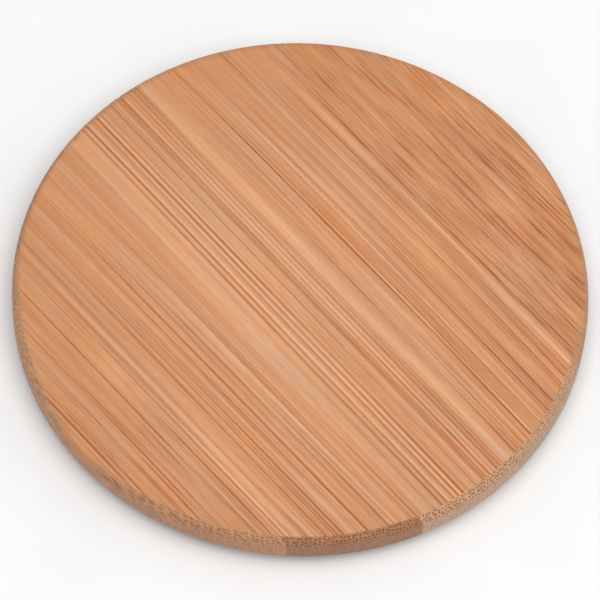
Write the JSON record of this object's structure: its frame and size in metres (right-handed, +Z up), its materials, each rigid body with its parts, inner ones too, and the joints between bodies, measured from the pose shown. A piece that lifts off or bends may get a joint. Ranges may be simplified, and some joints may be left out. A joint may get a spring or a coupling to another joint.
{
  "type": "wireless charging pad",
  "caption": "Round bamboo wireless charging pad: a thin disc with a charging coil and circuit board inside, a plastic base cover on rubber feet and a cable socket in the rim.",
  "frame": {"origin": "centre of the plane that the rubber feet stand on, on the disc's axis", "axes": "+Z up out of the charging surface, +Y out of the cable socket, +X along the bamboo's grain"},
  "size_m": [0.1, 0.1, 0.0072],
  "materials": {
    "bamboo": "satin",
    "black_plastic": "matte",
    "foot_rubber": "matte",
    "screw_steel": "satin",
    "foam": "matte",
    "ferrite": "satin",
    "adhesive_tape": "matte",
    "coil_copper": "satin",
    "epoxy_bead": "gloss",
    "circuit_board": "satin",
    "chip_epoxy": "matte",
    "chip_ceramic": "satin",
    "led_plastic": "gloss",
    "socket_steel": "satin",
    "tongue_plastic": "matte",
    "contact_gold": "gloss",
    "clear_plastic": "gloss"
  },
  "bodies": {
    "root": {"bamboo_shell": "bamboo", "base_cover": "black_plastic", "rubber_foot_1": "foot_rubber", "rubber_foot_2": "foot_rubber", "rubber_foot_3": "foot_rubber", "rubber_foot_4": "foot_rubber", "base_screws": "screw_steel", "support_foam": "foam", "ferrite_plate": "ferrite", "coil_tape": "adhesive_tape", "transmitter_coil": "coil_copper", "top_tape": "adhesive_tape", "ntc_thermistor": "epoxy_bead", "main_board": "circuit_board", "controller_ic": "chip_epoxy", "half_bridge_1": "chip_epoxy", "half_bridge_2": "chip_epoxy", "resonant_capacitor_1": "chip_ceramic", "resonant_capacitor_2": "chip_ceramic", "resonant_capacitor_3": "chip_ceramic", "resonant_capacitor_4": "chip_ceramic", "input_capacitor_1": "chip_ceramic", "input_capacitor_2": "chip_ceramic", "power_inductor": "ferrite", "sense_resistor": "chip_epoxy", "input_diode": "chip_epoxy", "status_led": "led_plastic", "chip_passives": "chip_ceramic", "usb_shell": "socket_steel", "usb_tongue": "tongue_plastic", "usb_contacts": "contact_gold", "light_pipe": "clear_plastic"}
  },
  "joints": []
}
